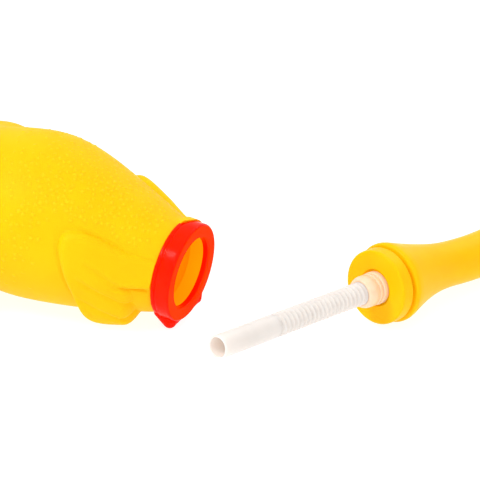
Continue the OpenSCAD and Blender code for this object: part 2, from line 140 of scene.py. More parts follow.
# %% Camera
VIEW_AZIMUTH, VIEW_ELEVATION = math.radians(26), math.radians(23)
CAMERA_DISTANCE = 1.6
VIEW_WIDTH = 0.216
AIM_RIGHT, AIM_UP = 0.0216, 0.0149
cos_a, sin_a = math.cos(VIEW_AZIMUTH), math.sin(VIEW_AZIMUTH)
cos_e, sin_e = math.cos(VIEW_ELEVATION), math.sin(VIEW_ELEVATION)
view_right = Vector((cos_a, sin_a, 0))
view_up = Vector((-sin_a * sin_e, cos_a * sin_e, cos_e))
view_back = Vector((sin_a * cos_e, -cos_a * cos_e, sin_e))
aim = view_right * AIM_RIGHT + view_up * AIM_UP
camera_data = bpy.data.cameras.new("camera")
camera_data.lens = camera_data.sensor_width * CAMERA_DISTANCE / VIEW_WIDTH
camera = bpy.data.objects.new("camera", camera_data)
bpy.context.collection.objects.link(camera)
camera.location = aim + view_back * CAMERA_DISTANCE
camera.rotation_mode = "QUATERNION"
camera.rotation_quaternion = (-view_back).to_track_quat("-Z", "Y")
bpy.context.scene.camera = camera
print(f"lens {camera_data.lens:.0f} mm")

# %% [markdown]
# ## Node helper and colours
# Every tree below, for a finish or for geometry, is built with one function that
# adds a node with its settings and links. Colours are written as sRGB hex, as a
# paint chart gives them, and one function turns them to the linear values that
# the shader wants.

# %% Helpers for nodes and colours
def add_node(tree, kind, inputs=None, **settings):
    """Adds a node. Inputs are values, or sockets to link from."""
    node = tree.nodes.new(kind)
    for key, value in settings.items():
        setattr(node, key, value)
    for key, value in (inputs or {}).items():
        if isinstance(value, bpy.types.NodeSocket):
            tree.links.new(value, node.inputs[key])
        else:
            node.inputs[key].default_value = value
    return node


def colour(hex_text):
    """Linear RGBA of an sRGB hex colour."""
    parts = [int(hex_text[i : i + 2], 16) / 255 for i in (1, 3, 5)]
    return [c / 12.92 if c <= 0.04045 else ((c + 0.055) / 1.055) ** 2.4 for c in parts] + [1.0]


# %% [markdown]
# ## Finishes
# Everything on the toy is plastic, so one function makes the base: two close
# colours mixed by a soft cloud, a little change in roughness, and a fine grain.
# What sets a finish apart is its numbers: soft PVC is matt and lets light a
# little way in, the collar's paint is a hard gloss, and the squeaker is milky
# polyethylene.

# %% A moulded plastic, ready to be made into each finish
def moulded(name, light, dark, rough, cloud_mm, grain_mm, grain_depth_mm, stretch=(1, 1, 1), **values):
    """A procedural plastic. Pattern sizes are in millimetres; values are the shader's own sockets."""
    material = bpy.data.materials.new(name)
    material.use_nodes = True
    tree = material.node_tree
    tree.nodes.clear()
    where = add_node(tree, "ShaderNodeTexCoord").outputs["Object"]
    along = add_node(
        tree,
        "ShaderNodeMapping",
        {"Vector": where, "Scale": stretch, "Rotation": (0, math.radians(-BODY_TILT), 0)},
    ).outputs["Vector"]
    cloud = add_node(
        tree,
        "ShaderNodeTexNoise",
        {"Vector": where, "Scale": 1 / (cloud_mm * MM), "Detail": 3.0, "Roughness": 0.55},
    ).outputs["Fac"]
    patch = add_node(
        tree, "ShaderNodeMapRange", {"Value": cloud, "From Min": 0.35, "From Max": 0.65}
    ).outputs["Result"]
    tint = add_node(
        tree,
        "ShaderNodeMix",
        data_type="RGBA",
    )
    tree.links.new(patch, tint.inputs["Factor"])
    tint.inputs[6].default_value = colour(light)
    tint.inputs[7].default_value = colour(dark)
    gloss = add_node(
        tree,
        "ShaderNodeMapRange",
        {"Value": cloud, "From Min": 0.3, "From Max": 0.7, "To Min": rough * 0.88, "To Max": rough * 1.12},
    ).outputs["Result"]
    grain = add_node(
        tree,
        "ShaderNodeTexNoise",
        {"Vector": along, "Scale": 1 / (grain_mm * MM), "Detail": 2.0},
    ).outputs["Fac"]
    bump = add_node(
        tree,
        "ShaderNodeBump",
        {"Height": grain, "Distance": grain_depth_mm * MM, "Strength": 1.0},
    ).outputs["Normal"]
    shader = add_node(
        tree,
        "ShaderNodeBsdfPrincipled",
        {"Base Color": tint.outputs[2], "Roughness": gloss, "Normal": bump, **values},
    )
    add_node(tree, "ShaderNodeOutputMaterial", {"Surface": shader.outputs["BSDF"]})
    return material


# %% Finishes of this toy
# Soft PVC scatters light a millimetre or two, more red than green, so its
# shaded side turns to orange and not to grey.
PVC_GLOW = {
    "Subsurface Weight": 0.35,
    "Subsurface Radius": (1.0, 0.45, 0.05),
    "Subsurface Scale": 3.0 * MM,
    "IOR": 1.52,
    "Specular IOR Level": 0.06,
}
body_pvc = moulded("matt_soft_pvc", "#FFC208", "#FFBC05", 0.52, 40, 0.6, 0.012, **PVC_GLOW)
# The bumps get a lighter yellow than the skin: a painted highlight for the light their round tops catch.
bump_painted_highlight_pvc = moulded("goose_bumps_painted_highlight_pvc", "#FFC60F", "#FFC10C", 0.48, 40, 0.6, 0.008, **PVC_GLOW)
neck_pvc = moulded("smooth_soft_pvc", "#FFC106", "#FFBA04", 0.36, 30, 0.8, 0.008, **PVC_GLOW)
# The inside of the blown skin is lit through the thin wall: its deeper orange and a weak emission are painted
# light for that glow.
inner_pvc_painted_glow = moulded(
    "inside_of_pvc_painted_glow", "#FFA000", "#FF9600", 0.55, 25, 0.8, 0.01,
    **{"Emission Color": colour("#FF9A00"), "Emission Strength": 0.4, "Specular IOR Level": 0.1},
)
# The collar is dipped in a hard red gloss; fine drag marks run round it.
collar_paint = moulded(
    "glossy_red_paint", "#FC1E00", "#F41500", 0.16, 18, 0.9, 0.06, (1, 0.05, 0.05),
    **{"Coat Weight": 0.07, "Coat Roughness": 0.08, "Specular IOR Level": 0.02, "Subsurface Weight": 0.12,
       "Subsurface Radius": (1.0, 0.2, 0.05), "Subsurface Scale": 1.5 * MM},
)
# On the ring's face the red is lighter and more orange: a painted highlight for the lit face.
collar_face_highlight_paint = moulded(
    "collar_face_red_painted_highlight", "#FF3C00", "#F83400", 0.2, 18, 0.9, 0.03,
    **{"Coat Weight": 0.04, "Coat Roughness": 0.12, "Specular IOR Level": 0.0},
)
red_paint = moulded("satin_red_paint", "#E8201A", "#D41610", 0.34, 12, 0.7, 0.02, **{"IOR": 1.5})
orange_paint = moulded("satin_orange_paint", "#FF9A1E", "#F58A12", 0.38, 12, 0.7, 0.02, **{"IOR": 1.5})
eye_paint = moulded("white_eye_enamel", "#F8F8F4", "#F0F0EC", 0.12, 10, 0.8, 0.004, **{"Coat Weight": 0.5})
pupil_paint = moulded("black_pupil_enamel", "#0C0C0C", "#141414", 0.1, 10, 0.8, 0.004, **{"Coat Weight": 0.5})
# Natural polyethylene is milky: light goes in, spreads and comes back out. A weak warm emission on top is
# painted light that lifts its shaded sides and the inside of the tube.
milky_pe_painted_glow = moulded(
    "milky_polyethylene_painted_glow", "#DAD2CC", "#D4CCC6", 0.3, 15, 1.0, 0.01,
    **{"Subsurface Weight": 0.7, "Subsurface Radius": (1.0, 0.85, 0.75), "Subsurface Scale": 4.0 * MM,
       "Specular IOR Level": 0.25, "Emission Color": colour("#FFF0E4"), "Emission Strength": 0.1},
)
# Light from the yellow plug comes through its head, which looks peach: the peach colour and a weak emission
# paint that light in.
warm_pe_painted_glow = moulded(
    "squeaker_head_pe_painted_glow", "#F0CFB2", "#ECC8A8", 0.3, 6, 1.0, 0.01,
    **{"Subsurface Weight": 0.7, "Subsurface Radius": (1.0, 0.8, 0.6), "Subsurface Scale": 4.0 * MM,
       "Specular IOR Level": 0.25, "Emission Color": colour("#FFE0C4"), "Emission Strength": 0.08},
)
see_through = {"Transmission Weight": 0.3}
reed_film = moulded("clear_reed_film", "#F7F7F2", "#EFEFEA", 0.2, 8, 1.0, 0.005, **see_through)
print("finishes:", len(bpy.data.materials))

# %% [markdown]
# ## Meshes from rows of points
# Most of the pieces are round about an axis, or nearly so. They are made as rows
# of points, each row once round, joined by quads. A row may shrink to a single
# point, a pole, where the surface closes.

# %% Helpers for meshes
def new_piece(name, points, faces, materials, place=None, sharp=35):
    """A smooth-shaded object from points in millimetres, at the origin, its faces turned outward."""
    points = np.asarray(points, float)
    if place is not None:
        matrix = np.array(place)
        points = points @ matrix[:3, :3].T + matrix[:3, 3]
    mesh = bpy.data.meshes.new(name)
    mesh.from_pydata((points * MM).tolist(), [], faces)
    for material in materials if isinstance(materials, (list, tuple)) else [materials]:
        mesh.materials.append(material)
    turned = bmesh.new()
    turned.from_mesh(mesh)
    bmesh.ops.recalc_face_normals(turned, faces=turned.faces)
    turned.to_mesh(mesh)
    turned.free()
    mesh.shade_smooth()
    mesh.set_sharp_from_angle(angle=math.radians(sharp))
    mesh.update()
    piece = bpy.data.objects.new(name, mesh)
    bpy.context.collection.objects.link(piece)
    return piece


def ring_faces(rows, columns, closed=False, start=0):
    """Quads between rows of points that each go once round."""
    faces = []
    for i in range(rows if closed else rows - 1):
        here, there = start + i * columns, start + (i + 1) % rows * columns
        for j in range(columns):
            k = (j + 1) % columns
            faces.append((here + j, there + j, there + k, here + k))
    return faces


def lathed(name, outline, materials, place, columns=96, closed=True, sharp=35):
    """Turns an outline of (x, radius) round X. A radius of 0 at an end closes it with a pole."""
    outline = list(outline)
    first_pole, last_pole = outline[0][1] == 0, outline[-1][1] == 0
    rows = [p for p in outline if p[1] > 0]
    angles = np.linspace(0, 2 * math.pi, columns, endpoint=False)
    points = [(x, r * math.cos(a), r * math.sin(a)) for x, r in rows for a in angles]
    is_loop = closed and not first_pole and not last_pole
    faces = ring_faces(len(rows), columns, is_loop)
    if first_pole:
        points.append((outline[0][0], 0, 0))
        faces += [(len(points) - 1, j, (j + 1) % columns) for j in range(columns)]
    if last_pole:
        points.append((outline[-1][0], 0, 0))
        last = (len(rows) - 1) * columns
        faces += [(last + (j + 1) % columns, last + j, len(points) - 1) for j in range(columns)]
    return new_piece(name, points, faces, materials, place, sharp)


def arc(x, r, radius, first, last, steps=5):
    """Points of an arc in an outline, its centre at x, r; angle 0 points outwards and 90 towards +X."""
    angles = np.radians(np.linspace(first, last, steps))
    return [(x + radius * math.sin(a), r + radius * math.cos(a)) for a in angles]


def ease(t):
    """0 to 1, with a level start and end."""
    t = np.clip(t, 0, 1)
    return t * t * (3 - 2 * t)


def soft_max(*reaches):
    """The largest reach, with the creases between them filled a little."""
    top = np.maximum.reduce(reaches)
    return top * sum((r / top) ** 16 for r in reaches) ** (1 / 16)


def ball_reach(start, ray, centre, radius):
    """How far along each ray the far side of a ball is, or 0 where the ray misses it."""
    to_ball = np.asarray(centre) - start
    along = (to_ball * ray).sum(-1)
    off = np.linalg.norm(to_ball - along[..., None] * ray, axis=-1)
    inside = np.sqrt(np.maximum(radius**2 - off**2, 0))
    return np.where((off < radius) & (along > 0), along + inside, 0.0)


# %% [markdown]
# ## The body skin
# The real skin is blown into a mould, so it is one thin closed bag with soft
# creases. It could be sculpted, but its shape follows a rule: rays leave the
# centre line and stop at the skin. The trunk, the two thighs and the tail each
# say how far a ray may go, and the furthest one wins. The folded wings stand out
# of that. Rows are closest together at the wings, where the detail is.

# %% Rays of the body
COLUMNS = 390
wing_rows = np.linspace(COLLAR_W, 56, 124, endpoint=False)
trunk_rows = np.linspace(56, RUMP_AT, 46)
rump_fan = np.radians(np.linspace(0, 90, 53)[1:])
row_s = np.concatenate([wing_rows, trunk_rows, np.full(len(rump_fan), RUMP_AT)])
row_fan = np.concatenate([np.zeros(len(wing_rows) + len(trunk_rows)), rump_fan])
round_a = np.linspace(0, 2 * math.pi, COLUMNS, endpoint=False)
S, A = np.meshgrid(row_s, round_a, indexing="ij")
FAN = np.repeat(row_fan[:, None], COLUMNS, axis=1)
FROM_BACK = np.degrees(np.abs((A + math.pi) % (2 * math.pi) - math.pi))
RAY = np.stack([-np.sin(FAN), np.cos(FAN) * np.sin(A), np.cos(FAN) * np.cos(A)], axis=-1)
START = np.stack([-S, np.zeros_like(S), BACK_RISE * np.sin(math.pi * S / 140) ** 2], axis=-1)


def trunk_radius(s):
    """Radius of the trunk a length s behind the collar's face."""
    swell = np.sin(math.pi / 2 * np.minimum(1, (s - COLLAR_W) / (TRUNK_AT - COLLAR_W)))
    slim = WAIST * np.clip((s - WAIST_AT) / (RUMP_AT - WAIST_AT), 0, 1) ** 2
    return STUMP_R + (TRUNK_R - STUMP_R) * swell - slim


rump_core = 1 / np.hypot(np.sin(FAN) / RUMP_L, np.cos(FAN) / trunk_radius(RUMP_AT))
core = np.where(FAN > 0, rump_core, trunk_radius(S))
thighs = [ball_reach(START, RAY, (-THIGH_AT, side * THIGH_SIDE, -THIGH_LOW), THIGH_R) for side in (1, -1)]
tail_way = np.array([-1, 0, 0.75]) / math.hypot(1, 0.75)
tail = TAIL_L * np.exp(-((np.linalg.norm(RAY - tail_way, axis=-1) / 0.26) ** 2)) * (FAN > 0)
SWELL_H, SWELL_AT, SWELL_W = 1.3, 66, 22
back_swell = SWELL_H * np.exp(-(((S - SWELL_AT) / SWELL_W) ** 2)) * ease((100 - FROM_BACK) / 70) * (FAN == 0)
bare_reach = soft_max(core, *thighs) + back_swell
print(f"body skin: {len(row_s)} rows of {COLUMNS} points")

# %% [markdown]
# ## Folded wings
# Each wing is moulded flat against the side: an upper arm that runs out of the
# collar to an elbow, and below it a hand whose feathers point down and forward
# and stand away from the throat. Distances to the wing's edges, in millimetres
# over the skin, give the outline. The height climbs quickly from the edge and then
# levels off, and a fine crease along the edge keeps it crisp, as in a mould.

# %% Height of the wings
MM_PER_DEGREE = 0.57
WING_TOP, WING_BOTTOM, FOLD_A = 47.0, 141.0, 88.0
ELBOW_S, REAR_LEAN, HAND_FRONT = 52.5, 0.19, 17.4
EDGE_ROUND, CREASE_DEPTH, CREASE_W = 4.6, 0.5, 1.1
FEATHERS = (53.5, 62.5, 71.5)
FEATHER_DEPTH, FEATHER_W, FEATHER_REACH = 0.8, 1.4, 1.4
SHOULDER_DIP, SHOULDER_AT, SHOULDER_W = 3.5, 21, 9
ARM_STAND, ELBOW_STAND, HAND_STAND, ROOT_SINK = 2.6, 0.7, 4.4, 1.5
EDGE_POWER, FOLD_DEPTH, FOLD_W = 2.4, 1.3, 0.9


def soft_min(a, b, blend):
    """The smaller of two distances, with the corner between them rounded."""
    mix = np.clip(0.5 + 0.5 * (b - a) / blend, 0, 1)
    return b * (1 - mix) + a * mix - blend * mix * (1 - mix)


def wing_height(s, a, shift=0.0):
    """Height of the wing over the bare skin, a in degrees from the back. shift moves the elbow forward."""
    slant = 0.51 * s + 0.86 * MM_PER_DEGREE * a
    feather = sum(np.exp(-(((slant - q) / FEATHER_W) ** 2)) for q in FEATHERS)
    shoulder = SHOULDER_DIP * np.exp(-(((s - SHOULDER_AT) / SHOULDER_W) ** 2))
    top = (a - WING_TOP - 0.8 * shift - shoulder) * MM_PER_DEGREE
    rear = ELBOW_S - shift - REAR_LEAN * (a - 60) - s
    bottom = (WING_BOTTOM - a) * MM_PER_DEGREE
    inside = soft_min(soft_min(top, rear, 14), bottom, 12)
    front = s - HAND_FRONT - FEATHER_REACH * feather
    arm = (FOLD_A - 0.35 * np.maximum(0, 20 - s) - a) * MM_PER_DEGREE
    inside = soft_min(inside, -soft_min(-arm, -front, 2.0), 2.0)
    edge = np.clip(inside / EDGE_ROUND, 0, 1)
    stand = ARM_STAND + ELBOW_STAND * ease((s - 20) / 20) + HAND_STAND * ease((a - 96) / 34)
    stand -= ROOT_SINK * ease((26 - s) / 14) * ease((84 - a) / 16)
    height = stand * (1 - (1 - edge) ** EDGE_POWER)
    crease = CREASE_DEPTH * (0.25 + 0.75 * ease((s - 16) / 12))
    height -= crease * np.exp(-((inside / CREASE_W) ** 2))
    on_hand = ease((a - 62) / 16) * ease((44 - s) / 8) * ease(inside / 3)
    height -= FEATHER_DEPTH * feather * on_hand
    fold = np.exp(-(((a - FOLD_A) * MM_PER_DEGREE / FOLD_W) ** 2)) * ease((28 - s) / 8) * ease((s - 10) / 3)
    return height - FOLD_DEPTH * fold


# A hand-finished mould isn't quite even: the left elbow is 5 mm further forward.
LEFT_SHIFT = 5.0
wing = wing_height(S, FROM_BACK, LEFT_SHIFT * (np.sin(A) > 0))
wing = np.where(FAN > 0, 0.0, wing)

# On the left side the skin's front edge laps over the collar. In degrees from
# the back, the lap starts at LAP_FROM and is gone at LAP_TO.
LAP, LAP_ROWS, LAP_RISE = 4.2, 9, 0.6
LAP_FROM, LAP_TO, LAP_GROWS, LAP_FADES = 4, 115, 26, 45
side_a = np.degrees(A)
lapped = ease((side_a - LAP_FROM) / LAP_GROWS) * ease((LAP_TO - side_a) / LAP_FADES)
lap_row = np.clip(1 - np.arange(len(row_s)) / LAP_ROWS, 0, 1)[:, None] * lapped
outer_start = START.copy()
outer_start[..., 0] += LAP * lap_row
lap_reach = STUMP_R + (COLLAR_R + LAP_RISE - STUMP_R) * ease(lap_row * 2)
outer = outer_start + RAY * (np.maximum(bare_reach + wing, lap_reach) + tail)[..., None]
print(f"wings stand {wing.max():.1f} mm out at most")

# %% Close the skin: inner wall, mouth and poles
INNER_STEP = 3
inner_reach = bare_reach - SKIN
inner = (START + RAY * inner_reach[..., None])[::INNER_STEP, ::INNER_STEP]
inner_columns = inner.shape[1]
mouth_a = round_a[::INNER_STEP]
inner[0] = np.stack(
    [np.full(inner_columns, -COLLAR_W), STUMP_BORE * np.sin(mouth_a), STUMP_BORE * np.cos(mouth_a)], axis=-1
)
outer_rows, inner_rows = len(outer) - 1, len(inner) - 1
body_points = [outer[:outer_rows].reshape(-1, 3), inner[:inner_rows].reshape(-1, 3)]
inner_start = outer_rows * COLUMNS
pole = inner_start + inner_rows * inner_columns
body_points.append(np.array([outer[-1, 0], inner[-1, 0]]))
body_faces = ring_faces(outer_rows, COLUMNS)
last = (outer_rows - 1) * COLUMNS
body_faces += [(last + (j + 1) % COLUMNS, last + j, pole) for j in range(COLUMNS)]
outside_count = len(body_faces)
body_faces += [f[::-1] for f in ring_faces(inner_rows, inner_columns, start=inner_start)]
last = inner_start + (inner_rows - 1) * inner_columns
body_faces += [(last + j, last + (j + 1) % inner_columns, pole + 1) for j in range(inner_columns)]
inside_count = len(body_faces)
for j in range(inner_columns):
    near, far = inner_start + j, inner_start + (j + 1) % inner_columns
    rim = [(j * INNER_STEP + k) % COLUMNS for k in range(INNER_STEP + 1)]
    body_faces.append([*rim, far, near])
body_finishes = [body_pvc, inner_pvc_painted_glow]
body_skin = new_piece("body_skin_blown", np.concatenate(body_points), body_faces, body_finishes, BODY, 60)
inside = np.zeros(len(body_faces), int)
inside[outside_count:inside_count] = 1
body_skin.data.polygons.foreach_set("material_index", inside)
print("body skin:", len(body_faces), "faces")

# %% [markdown]
# ## Goose bumps
# Between the wings the skin carries low, round bumps about 2.5 mm apart. They repeat over a curved surface,
# which is work for Geometry Nodes: points are scattered no closer than the spacing, and a shallow dome is
# stood on each. A weight given on the points says where they may grow. The dome's rim is level with the skin,
# so no edge shows.

# %% One dome, with a level rim
BUMP_R, BUMP_H, BUMP_SPACING = 1.15, 0.3, 2.4
dome_rings = np.linspace(0, 1, 4)[1:]
dome_points = [(0, 0, BUMP_H)]
for t in dome_rings:
    height = BUMP_H * math.cos(math.pi / 2 * t) ** 2 - 0.03
    dome_points += [
        (BUMP_R * t * math.cos(a), BUMP_R * t * math.sin(a), height)
        for a in np.linspace(0, 2 * math.pi, 8, endpoint=False)
    ]
dome_faces = [(0, 1 + j, 1 + (j + 1) % 8) for j in range(8)]
for ring in range(len(dome_rings) - 1):
    for j in range(8):
        k = (j + 1) % 8
        near = 1 + ring * 8
        dome_faces.append((near + j, near + 8 + j, near + 8 + k, near + k))
dome = new_piece("one_dome", dome_points, dome_faces, bump_painted_highlight_pvc, sharp=180)

# %% Where bumps may grow: a patch of the outer skin with a weight on its points
bump_s_end = 100
patch_rows = int(np.searchsorted(row_s, bump_s_end))
patch = new_piece(
    "bump_patch",
    outer[:patch_rows].reshape(-1, 3),
    ring_faces(patch_rows, COLUMNS),
    bump_painted_highlight_pvc,
    BODY,
    180,
)
# An open sheet has no inside, so its side is checked against a ray: the domes stand on it.
sheet_face = patch.data.polygons[0]
if sheet_face.normal.dot(BODY.to_3x3() @ Vector(RAY[0, 0])) < 0:
    patch.data.flip_normals()
patch_s, patch_a = S[:patch_rows], FROM_BACK[:patch_rows]
between_wings = ease((45 - patch_a) / 6) * ease((patch_s - 13) / 4)
behind_wings = ease((patch_s - 54 - 0.05 * patch_a) / 4) * ease((118 - patch_a) / 20) * 0.75
fade = 1 - 0.85 * ease((patch_s - 58) / 34)
grow = np.maximum(between_wings, behind_wings) * fade
weight = patch.data.attributes.new("grow", "FLOAT", "POINT")
weight.data.foreach_set("value", grow.reshape(-1).astype(np.float32))


# %% The tree that scatters the domes
def new_tree(name, inputs):
    """A geometry tree with a Geometry input and the given (name, kind, value) inputs."""
    tree = bpy.data.node_groups.new(name, "GeometryNodeTree")
    tree.interface.new_socket("Geometry", in_out="INPUT", socket_type="NodeSocketGeometry")
    for label, kind, value in inputs:
        socket = tree.interface.new_socket(label, in_out="INPUT", socket_type=kind)
        if value is not None:
            socket.default_value = value
    tree.interface.new_socket("Geometry", in_out="OUTPUT", socket_type="NodeSocketGeometry")
    return tree, add_node(tree, "NodeGroupInput").outputs


def finish_tree(tree, geometry, material):
    """Ends a tree with real geometry and its finish."""
    real = add_node(tree, "GeometryNodeRealizeInstances", {"Geometry": geometry})
    finished = add_node(tree, "GeometryNodeSetMaterial", {"Geometry": real.outputs[0], "Material": material})
    add_node(tree, "NodeGroupOutput", {"Geometry": finished.outputs[0]})


def bake_tree(piece, tree, values, name):
    """Runs a tree on a piece and returns the result as a new plain piece."""
    modifier = piece.modifiers.new("tree", "NODES")
    modifier.node_group = tree
    for item in tree.interface.items_tree:
        if item.in_out == "INPUT" and item.name in values:
            modifier[item.identifier] = values[item.name]
    piece.update_tag()
    graph = bpy.context.evaluated_depsgraph_get()
    mesh = bpy.data.meshes.new_from_object(piece.evaluated_get(graph))
    piece.modifiers.remove(modifier)
    mesh.name = name
    made = bpy.data.objects.new(name, mesh)
    bpy.context.collection.objects.link(made)
    return made


tree, given = new_tree(
    "scatter_domes",
    [
        ("Dome", "NodeSocketObject", None),
        ("Spacing", "NodeSocketFloat", BUMP_SPACING * MM),
        ("Seed", "NodeSocketInt", 4),
    ],
)
grow_field = add_node(tree, "GeometryNodeInputNamedAttribute", {"Name": "grow"}, data_type="FLOAT").outputs[0]
scattered = add_node(
    tree,
    "GeometryNodeDistributePointsOnFaces",
    {
        "Mesh": given["Geometry"],
        "Distance Min": given["Spacing"],
        "Density Max": 4.0e5,
        "Density Factor": grow_field,
        "Seed": given["Seed"],
    },
    distribute_method="POISSON",
)
one = add_node(tree, "GeometryNodeObjectInfo", {"Object": given["Dome"]}).outputs["Geometry"]
size = add_node(
    tree, "FunctionNodeRandomValue", {"Seed": given["Seed"]}, data_type="FLOAT"
)
size.inputs[2].default_value, size.inputs[3].default_value = 0.75, 1.15
stood = add_node(
    tree,
    "GeometryNodeInstanceOnPoints",
    {
        "Points": scattered.outputs["Points"],
        "Instance": one,
        "Rotation": scattered.outputs["Rotation"],
        "Scale": size.outputs[1],
    },
)
finish_tree(tree, stood.outputs[0], bump_painted_highlight_pvc)
goose_bumps = bake_tree(patch, tree, {"Dome": dome, "Spacing": BUMP_SPACING * MM, "Seed": 4}, "goose_bumps")
goose_bumps.data.shade_smooth()
for helper in (dome, patch):
    bpy.data.objects.remove(helper)
print("goose bumps:", len(goose_bumps.data.polygons) // len(dome_faces))

# %% Body skin and bumps move with the body
for piece in (body_skin, goose_bumps):
    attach(piece, "body")
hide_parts("body_skin")

# %% [markdown]
# ## The collar
# A stiffer ring is moulded round the mouth and painted glossy red, with a small
# two-lobed knot under the throat, like a tied bow. The ring is an outline turned
# round the mouth's axis. The knot has no crisp edge, so it is built as strings of
# balls, as a modeller lays on clay: a voxel remesh fuses them to one closed skin
# and a smooth pass takes the joins out. The comb, wattles and feet use the same.

# %% Helpers for fused shapes
def modified(piece, kind, **settings):
    """Adds a modifier to a piece and applies it."""
    modifier = piece.modifiers.new(kind.lower(), kind)
    for key, value in settings.items():
        setattr(modifier, key, value)
    graph = bpy.context.evaluated_depsgraph_get()
    mesh = bpy.data.meshes.new_from_object(piece.evaluated_get(graph))
    piece.modifiers.remove(modifier)
    piece.data = mesh
    return piece


def string(first, last, r1, r2, count):
    """Balls along a straight line, from one radius to another."""
    steps = np.linspace(0, 1, count)
    a, b = np.array(first, float), np.array(last, float)
    return [(tuple(a + (b - a) * t), r1 + (r2 - r1) * t) for t in steps]


def ball_mesh(rings=8, columns=12):
    """Points and faces of a unit ball."""
    points = [(0.0, 0.0, 1.0)]
    for i in range(1, rings):
        polar = math.pi * i / rings
        for j in range(columns):
            a = 2 * math.pi * j / columns
            points.append((math.sin(polar) * math.cos(a), math.sin(polar) * math.sin(a), math.cos(polar)))
    points.append((0.0, 0.0, -1.0))
    faces = [(0, 1 + j, 1 + (j + 1) % columns) for j in range(columns)]
    faces += ring_faces(rings - 1, columns, start=1)
    base, end = 1 + (rings - 2) * columns, len(points) - 1
    faces += [(base + (j + 1) % columns, base + j, end) for j in range(columns)]
    return np.array(points), faces


BALL_POINTS, BALL_FACES = ball_mesh()


def fused(name, balls, material, place, voxel=0.5, smooth=6, flat=1.0):
    """One closed skin round a set of (centre, radius) balls. flat squeezes it along its own Z."""
    points, faces = [], []
    for centre, radius in balls:
        start = sum(len(p) for p in points)
        points.append(np.array(centre) + BALL_POINTS * radius)
        faces += [tuple(start + k for k in face) for face in BALL_FACES]
    points = np.vstack(points) * (1, 1, flat)
    piece = new_piece(name, points, faces, material, place, 180)
    modified(piece, "REMESH", mode="VOXEL", voxel_size=voxel * MM, use_smooth_shade=True)
    modified(piece, "SMOOTH", factor=0.5, iterations=smooth)
    piece.data.shade_smooth()
    print(f"{name}: {len(piece.data.polygons)} faces")
    return piece


# %% Collar: outline rows from the rear, over the outside and face, to the hole
EDGE = 1.3
GROOVE_AT, GROOVE_DEPTH = COLLAR_W - 2.7, 0.8
PAINT_DEPTH = 3.0
collar_outline = [(-COLLAR_W, MOUTH_R), (-COLLAR_W, COLLAR_R - 1.6)]
collar_outline += arc(-COLLAR_W + 0.6, COLLAR_R - 1.0, 0.6, -90, 0)
collar_outline += [(-x, COLLAR_R - 0.4) for x in np.linspace(8.4, GROOVE_AT + 1.3, 3)]
collar_outline += [
    (-GROOVE_AT - 1.0, COLLAR_R - 0.55),
    (-GROOVE_AT - 0.8, COLLAR_R - GROOVE_DEPTH),
    (-GROOVE_AT - 0.3, COLLAR_R - GROOVE_DEPTH),
    (-GROOVE_AT, COLLAR_R - 0.25),
]
collar_outline += [(-x, COLLAR_R) for x in np.linspace(GROOVE_AT - 0.3, EDGE, 12, endpoint=False)]
collar_outline += arc(-EDGE, COLLAR_R - EDGE, EDGE, 0, 90, 7)
collar_outline += [(0.0, r) for r in np.linspace(COLLAR_R - EDGE, MOUTH_R + EDGE, 8)[1:-1]]
collar_outline += arc(-EDGE, MOUTH_R + EDGE, EDGE, 90, 180, 7)
collar_outline += [(-PAINT_DEPTH, MOUTH_R)]
collar_columns = 192
ring_x = np.array([x for x, _ in collar_outline])
ring_r = np.array([r for _, r in collar_outline])
collar_a = np.linspace(0, 2 * math.pi, collar_columns, endpoint=False)
X, TURN = np.meshgrid(ring_x, collar_a, indexing="ij")
R = np.repeat(ring_r[:, None], collar_columns, axis=1)
collar_points = np.stack([X, R * np.sin(TURN), R * np.cos(TURN)], axis=-1)
collar_faces = ring_faces(len(ring_x), collar_columns, True)
collar_finishes = [collar_paint, inner_pvc_painted_glow, collar_face_highlight_paint]
collar = new_piece("collar_dipped", collar_points.reshape(-1, 3), collar_faces, collar_finishes, BODY, 50)
# The ring's face takes the painted highlight. Paint goes a little way into the mouth, and the bare skin's
# inside finish, with its painted glow, shows behind it on the last row of faces.
FULL_PAINT, BARE_SKIN, FACE_HIGHLIGHT_PAINT = range(3)
rows_of_faces = np.repeat(np.arange(len(ring_x)), collar_columns)
on_front = (ring_x > -0.45 * EDGE) & (ring_r < COLLAR_R - 0.35 * EDGE)
finish_of_face = np.where(on_front[rows_of_faces], FACE_HIGHLIGHT_PAINT, FULL_PAINT)
finish_of_face[rows_of_faces >= len(ring_x) - 1] = BARE_SKIN
collar.data.polygons.foreach_set("material_index", finish_of_face)
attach(collar, "body")
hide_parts("collar_ring")
print("collar:", len(collar.data.polygons), "faces")


# %% Knot under the throat
def on_throat(x, angle, radius):
    """A point at an angle from straight down round the mouth's axis, towards the right side."""
    a = math.radians(angle)
    return (x, -radius * math.sin(a), -radius * math.cos(a))


right_lobe, left_lobe = on_throat(-4.2, 33, COLLAR_R + 1.2), on_throat(-2.4, -22, COLLAR_R + 0.8)
knot_balls = string(on_throat(-8.6, 47, COLLAR_R - 1.5), right_lobe, 2.2, 3.3, 8)
knot_balls += string(right_lobe, left_lobe, 3.2, 2.5, 20)
knot_balls += string(left_lobe, on_throat(-2.2, -27, COLLAR_R - 0.6), 2.7, 2.2, 4)
knot = fused("collar_knot", knot_balls, collar_paint, BODY, 0.4, 4)
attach(knot, "body")

# %% [markdown]
# ## Neck and head skin
# The neck piece and the head are one moulding on the real toy. Its plug goes into the mouth, a groove takes
# the collar's lip, and a stop rim bears on the collar's face. The skin is an outline turned round the neck's
# axis, carried on over the skull. The head bends on the neck; the skin is made with the head bent up a little
# from it.

# %% Neck outline, from the squeaker's hole to the crown
def flare_radius(u):
    """Radius of the neck a length u behind the stop rim."""
    return NECK_R + (STOP_R - NECK_R) * (1 - math.sin(math.pi / 2 * min(1, u / FLARE_L))) ** 1.15


